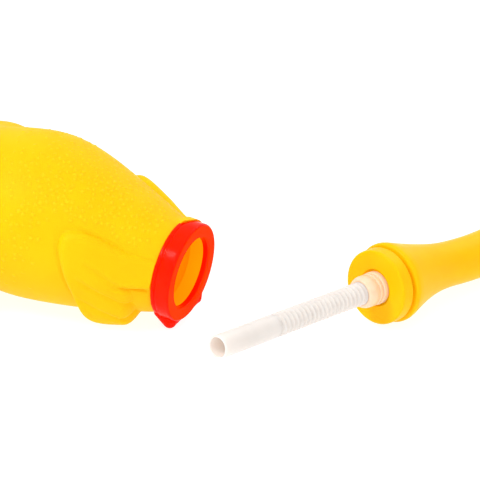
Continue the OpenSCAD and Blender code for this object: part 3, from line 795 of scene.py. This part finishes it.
STOP_AT = PLUG_W + GROOVE_W
FLARE_AT = STOP_AT + STOP_W
FACE_WALL, HOLE_R = 3.0, BARREL_R + BARREL_GAP + 0.05
neck_outline = [(FACE_WALL, HOLE_R), (0.5, HOLE_R), *arc(0.5, HOLE_R + 0.5, 0.5, 180, 90, 4)]
neck_outline += [(0.0, r) for r in np.linspace(HOLE_R + 1, PLUG_R - 2.4, 8)]
neck_outline += arc(1.0, PLUG_R - 1.0, 1.0, -90, 0, 7)
neck_outline += [(x, PLUG_R) for x in np.linspace(2, PLUG_W - 1.2, 5)]
neck_outline += arc(PLUG_W - 0.6, PLUG_R - 0.6, 0.6, 0, 90, 5)
neck_outline += arc(PLUG_W + 0.8, PLUG_R - 1.6, 0.8, -90, -180, 4)[:-1]
neck_outline += [(PLUG_W + 0.8, PLUG_R - 2.2), (STOP_AT - 0.3, PLUG_R - 2.2)]
neck_outline += arc(STOP_AT + 1.4, STOP_R - 1.4, 1.4, -90, 0, 7)
neck_outline += [(STOP_AT + 2.4, STOP_R), (STOP_AT + 3.2, STOP_R - 0.25)]
neck_outline += [(FLARE_AT + u - 0.6, flare_radius(u) - 0.3) for u in np.linspace(0.4, FLARE_L, 30)]
neck_outline += [(x, NECK_R - 0.3) for x in np.linspace(FLARE_AT + FLARE_L + 2, NECK_L - 1, 18)]
head_steps = np.linspace(0, 1, 64)
head_end = NAPE_X + SKULL_AT + SKULL_R - 0.02
head_x = NECK_L + (head_end - NECK_L) * np.sin(math.pi / 2 * head_steps)


def head_radius(x):
    """Radius of the head's skin at x along the neck's axis."""
    skull = math.sqrt(max(SKULL_R**2 - (x - NAPE_X - SKULL_AT) ** 2, 0.0))
    nape = (NECK_R - 0.3) * (1 - float(ease((x - NAPE_X - 8) / 14)))
    return (skull**8 + nape**8) ** 0.125


neck_outline += [(x, head_radius(x)) for x in head_x]
neck_columns = 128
neck_a = np.linspace(0, 2 * math.pi, neck_columns, endpoint=False)
XN, TN = np.meshgrid([p[0] for p in neck_outline], neck_a, indexing="ij")
RN = np.repeat(np.array([p[1] for p in neck_outline])[:, None], neck_columns, axis=1)
neck_points = np.stack([XN, RN * np.cos(TN), RN * np.sin(TN)], axis=-1)

# %% Shape the face: brows over the eyes, cheeks and the root of the beak
skull_middle = np.array([NAPE_X + SKULL_AT, 0, 0])
from_skull = neck_points - skull_middle
skull_way = from_skull / np.linalg.norm(from_skull, axis=-1, keepdims=True)
EYE_WAY = np.array([0.30, -0.36, 1.0]) / math.sqrt(0.30**2 + 0.36**2 + 1)
beak_turn = math.radians(BEAK_TURN)
BEAK_WAY = np.array([math.cos(beak_turn), math.sin(beak_turn), 0])


def swelling(way, width, height):
    """A soft round swelling of the skull in one direction."""
    miss = np.linalg.norm(skull_way - np.asarray(way) / np.linalg.norm(way), axis=-1)
    return height * np.exp(-((miss / width) ** 2))


on_head = ease((XN - NAPE_X - 2) / 8)
swell = swelling(BEAK_WAY, 0.42, 2.2)
for side in (1, -1):
    eye_way = EYE_WAY * (1, 1, side)
    brow_way = eye_way + np.array([0.32, 0.30, 0.0])
    cheek_way = eye_way + np.array([-0.55, -0.75, -0.25 * side])
    swell += swelling(brow_way, 0.26, 1.0) + swelling(cheek_way, 0.36, 0.9)
    ring = np.linalg.norm(skull_way - eye_way, axis=-1)
    swell += 0.7 * np.exp(-(((ring - 0.37) / 0.09) ** 2))
neck_points = neck_points + skull_way * (swell * on_head)[..., None]

# %% Bend the head up from the neck, close the crown and give the skin its wall
# The soft neck also sags a little between its stop rim and the head.
SAG, SAG_START, SAG_END = 2.9, 22.0, 120.0
sag_phase = np.clip((neck_points[..., 0] - SAG_START) / (SAG_END - SAG_START), 0, 1)
neck_points[..., 2] -= SAG * np.sin(math.pi * sag_phase) ** 2
lift = math.radians(HEAD_LIFT)
bend = ease((neck_points[..., 0] - NECK_L) / (2 * NAPE_R))
angle = -lift * bend
dx, dz = neck_points[..., 0] - NAPE_X, neck_points[..., 2]
bent = neck_points.copy()
bent[..., 0] = NAPE_X + dx * np.cos(angle) + dz * np.sin(angle)
bent[..., 2] = -dx * np.sin(angle) + dz * np.cos(angle)
crown = bent[-1].mean(axis=0)
neck_rows = len(neck_outline)
last = (neck_rows - 1) * neck_columns
neck_faces = ring_faces(neck_rows, neck_columns)
crown_at = neck_rows * neck_columns
neck_faces += [(last + (j + 1) % neck_columns, last + j, crown_at) for j in range(neck_columns)]
neck_head = new_piece(
    "neck_and_head_skin", np.vstack([bent.reshape(-1, 3), crown]), neck_faces, neck_pvc, NECK, 50
)
modified(neck_head, "SOLIDIFY", thickness=1.6 * MM, offset=-1, use_even_offset=False)
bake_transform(neck_head)
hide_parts("neck_skin", "head_skin")
print("neck and head skin:", len(neck_head.data.polygons), "faces")

# %% [markdown]
# ## The squeaker
# It is a push-fit of milky polyethylene. The head, domed in front with two
# steps behind, sits in the plug. A ringed stretch lets the tube bend, and it
# ends in a plain open tube. The head and the plain end are turned outlines.
# The rings repeat along a path, so a small tree makes them: a line is cut into
# even steps, its radius rises and falls with each step, and a circle is swept
# along it.

# %% Squeaker's head
front = -BARREL_OUT
dome_r, dome_l = BARREL_R - 0.2, BARREL_OUT * 0.56
ring_l = (BARREL_OUT - dome_l) / 2
head_outline = [(front + 3, TUBE_R - TUBE_WALL), (front, TUBE_R - TUBE_WALL), (front, TUBE_R)]
head_outline += [
    (front + dome_l * 0.6 * (1 - math.cos(a)), TUBE_R + (dome_r - TUBE_R) * math.sin(a) ** 0.8)
    for a in np.radians(np.linspace(8, 90, 10))
]
for at, low, high in ((-2 * ring_l, dome_r - 0.65, dome_r), (-ring_l, dome_r - 0.6, BARREL_R)):
    head_outline += [(at - 0.5, dome_r - 0.05), (at - 0.2, dome_r - 0.25), (at, low), (at + 0.3, low)]
    head_outline += arc(at + 0.75, high - 0.35, 0.35, -90, 0, 4)
head_outline += [(0.3, BARREL_R), (BARREL_IN, BARREL_R), (BARREL_IN, TUBE_R), (front + 3, TUBE_R)]
squeaker_head = lathed("squeaker_head", head_outline, warm_pe_painted_glow, NECK, 96, True, 40)
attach(squeaker_head, "whistle")
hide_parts("whistle_barrel")

# %% Ringed tube, swept by a tree
STEPS_PER_RING = 6
ringed_l = RINGS * RING_PITCH
tube_front = NECK @ Vector((front, 0, 0)) * MM
tube_back = NECK @ Vector((front - ringed_l, 0, 0)) * MM
line_mesh = bpy.data.meshes.new("tube_line")
line_mesh.from_pydata([tube_front, tube_back], [(0, 1)], [])
tube_line = bpy.data.objects.new("tube_line", line_mesh)
bpy.context.collection.objects.link(tube_line)
tree, given = new_tree(
    "sweep_rings",
    [
        ("Radius", "NodeSocketFloat", TUBE_R * MM),
        ("Groove", "NodeSocketFloat", RING_DEPTH * MM),
        ("Steps", "NodeSocketInt", RINGS * STEPS_PER_RING + 1),
    ],
)
path = add_node(tree, "GeometryNodeMeshToCurve", {"Mesh": given["Geometry"]}).outputs[0]
cut = add_node(tree, "GeometryNodeResampleCurve", {"Curve": path, "Count": given["Steps"]}).outputs[0]
index = add_node(tree, "GeometryNodeInputIndex").outputs[0]
phase = add_node(
    tree, "ShaderNodeMath", {0: index, 1: 2 * math.pi / STEPS_PER_RING}, operation="MULTIPLY"
).outputs[0]
wave = add_node(tree, "ShaderNodeMath", {0: phase}, operation="COSINE").outputs[0]
# half of (1 - cosine) is 0 on a ring's crest and 1 in the groove
dip = add_node(
    tree, "ShaderNodeMapRange", {"Value": wave, "From Min": 1.0, "From Max": -1.0}
).outputs[0]
cut_depth = add_node(tree, "ShaderNodeMath", {0: dip, 1: given["Groove"]}, operation="MULTIPLY").outputs[0]
ring_radius = add_node(
    tree, "ShaderNodeMath", {0: given["Radius"], 1: cut_depth}, operation="SUBTRACT"
).outputs[0]
profile = add_node(tree, "GeometryNodeCurvePrimitiveCircle", {"Resolution": 64, "Radius": 1.0}).outputs[0]
swept = add_node(
    tree, "GeometryNodeCurveToMesh", {"Curve": cut, "Profile Curve": profile, "Scale": ring_radius}
).outputs[0]
finish_tree(tree, swept, milky_pe_painted_glow)
ringed_tube = bake_tree(
    tube_line,
    tree,
    {"Radius": TUBE_R * MM, "Groove": RING_DEPTH * MM, "Steps": RINGS * STEPS_PER_RING + 1},
    "ringed_tube",
)
bpy.data.objects.remove(tube_line)
ringed_tube.data.shade_smooth()
modified(ringed_tube, "SOLIDIFY", thickness=TUBE_WALL * MM, offset=-1)
print("ringed tube:", RINGS, "rings,", len(ringed_tube.data.polygons), "faces")

# %% Plain end of the tube, with a softly rounded rim
tip = front - ringed_l - TUBE_END_L
inner_r = TUBE_R - TUBE_WALL
end_outline = [(tip + TUBE_END_L, inner_r), *arc(tip + 0.3, inner_r + 0.3, 0.3, 180, 270, 4)]
end_outline += [*arc(tip + 0.3, TUBE_R - 0.3, 0.3, 270, 360, 4)]
end_outline += [(x, TUBE_R) for x in np.linspace(tip + 2, tip + TUBE_END_L, 12)]
tube_end = lathed("plain_tube_end", end_outline, milky_pe_painted_glow, NECK, 96, True, 50)
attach(tube_end, "tube_end")
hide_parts("tube_end")
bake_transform(ringed_tube)
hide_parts("corrugated_tube")

# %% The reed and its seat are right as they are, and take a finish
for node, finish in (("reed_seat", milky_pe_painted_glow), ("reed", reed_film)):
    for place in frame["nodes"][node].material_slots:
        place.material = finish

# %% [markdown]
# ## Face
# Rubber chickens have an open beak, a five-toothed comb, two wattles and round
# painted eyes. The face here is a plain one of its own. The beak's halves are
# lofted along a line that hooks at the tip, with a flat side towards the mouth.

# %% Comb and wattles
def on_plane(angle, distance, z=0.0):
    """A point in the head's profile plane, from the skull's centre."""
    a = math.radians(angle)
    return (distance * math.cos(a), distance * math.sin(a), z)


comb_balls = [(on_plane(a, SKULL_R - 0.2), 2.6) for a in range(10, 112, 6)]
for tooth, angle in enumerate((16, 38, 60, 82, 104)):
    tall = SKULL_R + 5.8 - abs(tooth - 2) * 0.5
    comb_balls += string(on_plane(angle, SKULL_R + 0.5), on_plane(angle + 5, tall), 3.3, 1.5, 7)
comb = fused("comb_teeth", comb_balls, red_paint, SKULL, 0.4, 5, 0.8)
wattle_balls = []
for side in (1, -1):
    root = on_plane(BEAK_TURN - 60, SKULL_R - 0.8, side * 3.4)
    belly = on_plane(BEAK_TURN - 68, SKULL_R + 6.6, side * 4.2)
    wattle_balls += string(root, belly, 2.0, 3.5, 9)
wattles = fused("wattle_drops", wattle_balls, red_paint, SKULL, 0.4, 5)

# %% Beak halves
BEAK_ROWS, BEAK_COLUMNS = 34, 40
MOUTH_HALF, BEAK_ROOT, HOOK_DROP = 1.75, 7.0, 2.4


def beak_half(name, up, root_r, length):
    """Lofts half a beak. up is 1 for the upper half and -1 for the lower."""
    lean = math.radians(up * BEAK_GAPE / 2)
    rows = []
    for t in np.linspace(0, 1, BEAK_ROWS):
        d = BEAK_ROOT + (length - BEAK_ROOT) * t
        r = root_r * (1.05 - 0.62 * t**1.15) * math.sqrt(max(1 - t**7, 0.0)) + 0.02
        hook = up * HOOK_DROP * t**3.2 if up > 0 else 0.0
        x = d * math.cos(lean)
        y = d * math.sin(lean) - hook
        for a in np.linspace(0, 2 * math.pi, BEAK_COLUMNS, endpoint=False):
            rise = r * math.cos(a) * (1.0 if math.cos(a) > 0 else 0.55)
            ridge = 0.5 * max(math.cos(a), 0) ** 8 * (1 - t)
            py = y + up * (rise + ridge)
            py = max(py, MOUTH_HALF) if up > 0 else min(py, -MOUTH_HALF)
            rows.append((x, py, r * 0.98 * math.sin(a) * up))
    faces = ring_faces(BEAK_ROWS, BEAK_COLUMNS)
    faces.append(tuple(range(BEAK_COLUMNS)))
    tip_start = (BEAK_ROWS - 1) * BEAK_COLUMNS
    faces.append(tuple(tip_start + j for j in reversed(range(BEAK_COLUMNS))))
    return new_piece(name, rows, faces, orange_paint, SKULL @ turn(BEAK_TURN, "Z"), 40)


upper_beak = beak_half("upper_beak_hooked", 1, 6.2, BEAK_L)
lower_beak = beak_half("lower_beak_short", -1, 5.2, BEAK_L - 3)
tongue_outline = [(SKULL_R * 0.7, 0.0), (SKULL_R * 0.7 + 0.1, 1.4)]
tongue_outline += [(x, 1.45 - 0.3 * ((x - 10) / 9) ** 2) for x in np.linspace(10, BEAK_L * 0.6, 9)]
tongue_outline += [*arc(BEAK_L * 0.6 + 0.1, 0.0, 1.12, 10, 80, 5), (BEAK_L * 0.6 + 1.22, 0.0)]
tongue = lathed("tongue_tip", tongue_outline, red_paint, SKULL @ turn(BEAK_TURN, "Z"), 32, False, 60)

# %% Eyes and pupils
EYE_SINK, PUPIL_R, PUPIL_PROUD = 2.9, 2.1, 0.22
for side, word in ((1, "left"), (-1, "right")):
    look = Vector(EYE_WAY * (1, 1, side))
    look_turn = look.to_track_quat("X", "Z").to_matrix().to_4x4()
    eye_frame = SKULL @ Matrix.Translation(look * (SKULL_R - EYE_SINK)) @ look_turn
    turns = np.radians(np.linspace(0, 180, 33))
    eye_outline = [(EYE_R * math.cos(a), EYE_R * math.sin(a)) for a in turns[1:-1]]
    eye_outline = [(EYE_R, 0.0), *eye_outline, (-EYE_R, 0.0)]
    eye = lathed(f"{word}_eye_dome", eye_outline[::-1], eye_paint, eye_frame, 64, False, 60)
    cap_r = EYE_R + PUPIL_PROUD
    cap = [(cap_r * math.cos(a), cap_r * math.sin(a)) for a in np.linspace(0.02, PUPIL_R / EYE_R, 10)]
    under = [(cap[-1][0] - 0.5, cap[-1][1] + 0.02), (cap[-1][0] - 0.6, 0.0)]
    pupil_outline = [(cap_r, 0.0), *cap, *under]
    pupil = lathed(f"{word}_pupil_cap", pupil_outline[::-1], pupil_paint, eye_frame, 48, False, 60)
    for piece, node, slot in ((eye, "eye", "eye_white"), (pupil, "pupil", "pupil_black")):
        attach(piece, "head")
        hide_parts(f"{word}_{node}")
face_pieces = (
    (comb, "comb", "red_paint"),
    (wattles, "wattles", "red_paint"),
    (tongue, "tongue", "red_paint"),
    (upper_beak, "upper_beak", "orange_paint"),
    (lower_beak, "lower_beak", "orange_paint"),
)
for piece, node, slot in face_pieces:
    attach(piece, "head")
    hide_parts(node)

# %% [markdown]
# ## Legs and feet
# The drumsticks run out of the thighs as soft hollow skin, so each is rooted in its thigh. Above the ankle
# the moulding has low rings, like a bird's scaled shank. The feet lie flat, with three webbed toes in front
# and one turned out behind.

# %% Legs
SHANK_RING, SHANK_RING_DEPTH = 2.6, 0.22
KNUCKLE_H, KNUCKLE_STEP = 0.28, 9.0


def leg_radius(u):
    """Radius of the leg a length u past the hip."""
    t = min(1, max(0, u / (LEG_L * 0.8)))
    thick = SHANK_R + (HIP_R - SHANK_R) * max(math.cos(math.pi / 2 * t), 0) ** 1.6
    thick += 1.2 * math.exp(-(((u - LEG_L) / 4.5) ** 2))
    scaled = float(ease((u - 34) / 8)) * (1 - float(ease((u - LEG_L + 4) / 3)))
    return thick - SHANK_RING_DEPTH * scaled * (0.5 - 0.5 * math.cos(2 * math.pi * u / SHANK_RING)) ** 0.5


root_outline = [(-17.0, 0.0), (-16.4, 5.0), (-14.5, 8.6), (-11.0, 11.2), (-6.0, 12.5), (-2.0, 12.7)]
for side, word in ((1, "left"), (-1, "right")):
    leg_place = leg_frame(side)
    leg_outline = root_outline + [(u, leg_radius(u)) for u in np.linspace(0.5, LEG_L + 2, 150)]
    leg_outline += [(LEG_L + 2.8, SHANK_R - 0.5), (LEG_L + 3.0, 0.0)]
    leg = lathed(f"{word}_leg_skin", leg_outline, body_pvc, leg_place, 80, False, 50)
    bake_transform(leg)
    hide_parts(f"{word}_leg")

    ankle = leg_place @ Vector((LEG_L + 3, 0, 0))
    ground = TOE_R + 0.1 - MOUTH_HEIGHT
    foot_place = Matrix.Translation((ankle.x, ankle.y, ground)) @ turn(180 - side * LEG_SPLAY, "Z")
    heel = (0.5, 0, ankle.z - ground - 0.6)
    balls = string(heel, (5, 0, 0.6), SHANK_R - 0.5, TOE_R + 0.6, 8)
    for spread in (-TOE_SPREAD, 0, TOE_SPREAD):
        reach = TOE_L - abs(spread) * 0.12
        steps = np.linspace(0, 1, 26)
        for t in steps:
            at = 5 + (reach - 5) * t
            knuckle = KNUCKLE_H * math.cos(2 * math.pi * (at / KNUCKLE_STEP))
            nail = TOE_R * 0.72 * (1 - (t - 0.8) * 3.0) + 0.2
            r = max((TOE_R + knuckle) * (1 - 0.30 * t) if t < 0.8 else nail, 0.9)
            a = math.radians(spread)
            balls.append(((at * math.cos(a), at * math.sin(a), r - TOE_R + 0.1), r))
    for spread in np.arange(-TOE_SPREAD, TOE_SPREAD + 1, 5):
        a = math.radians(float(spread))
        edge = TOE_L * (0.44 + 0.1 * abs(math.cos(3 * a)))
        for d in np.arange(6, edge, 2.0):
            balls.append(((d * math.cos(a), d * math.sin(a), 1.5 - TOE_R + 0.1), 1.45))
    balls += string((4.5, 0, 0.4), (1.0, -side * HIND_TOE, -1.2), TOE_R, 1.3, 14)
    foot = fused(f"{word}_foot_webbed", balls, orange_paint, foot_place, 0.55, 5)
    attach(foot, f"{word}_leg")
    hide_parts(f"{word}_foot")

# %% [markdown]
# ## Table and light
# A plain, nearly white table and soft light from all round, as in a light tent,
# with one large soft lamp over the left shoulder to draw the collar's gloss.

# %% Floor
floor_half = 3.0
floor_z = -MOUTH_HEIGHT * MM
floor_mesh = bpy.data.meshes.new("floor")
corners = [(x * floor_half, y * floor_half, floor_z) for x, y in ((-1, -1), (1, -1), (1, 1), (-1, 1))]
floor_mesh.from_pydata(corners, [], [(0, 1, 2, 3)])
floor = bpy.data.objects.new("floor", floor_mesh)
bpy.context.collection.objects.link(floor)
floor_white = bpy.data.materials.new("white_table")
floor_white.use_nodes = True
floor_shader = floor_white.node_tree.nodes["Principled BSDF"]
floor_shader.inputs["Base Color"].default_value = colour("#9A9A9A")
floor_shader.inputs["Roughness"].default_value = 0.9
floor_shader.inputs["Specular IOR Level"].default_value = 0.1
floor_shader.inputs["Emission Color"].default_value = (1, 1, 1, 1)
floor_shader.inputs["Emission Strength"].default_value = 0.85
floor_mesh.materials.append(floor_white)
floor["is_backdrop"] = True

# %% Lights and world
world = bpy.data.worlds.new("light_tent")
bpy.context.scene.world = world
world.use_nodes = True
background = world.node_tree.nodes["Background"]
background.inputs["Color"].default_value = (1, 1, 1, 1)
background.inputs["Strength"].default_value = 0.85


def soft_lamp(name, place, size, power):
    """A square lamp that looks at the mouth."""
    data = bpy.data.lights.new(name, "AREA")
    data.shape, data.size, data.energy = "SQUARE", size, power
    lamp = bpy.data.objects.new(name, data)
    bpy.context.collection.objects.link(lamp)
    lamp.location = place
    lamp.rotation_mode = "QUATERNION"
    lamp.rotation_quaternion = (-Vector(place)).to_track_quat("-Z", "Y")
    return lamp


soft_lamp("key", (-0.55, -0.75, 1.1), 0.5, 9)
soft_lamp("fill", (0.9, -0.9, 0.7), 0.9, 3)
soft_lamp("back", (0.2, 1.1, 1.0), 0.8, 3)
bpy.context.scene.view_settings.view_transform = "Standard"

# %% [markdown]
# ## Finish
# The made object is measured against the design, and both boxes are written down.

# %% Measure and finish
made_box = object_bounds()
for label, (low, high) in (("design", cad_box), ("made", made_box)):
    print(label, "size in mm:", [round((b - a) / MM, 1) for a, b in zip(low, high)])
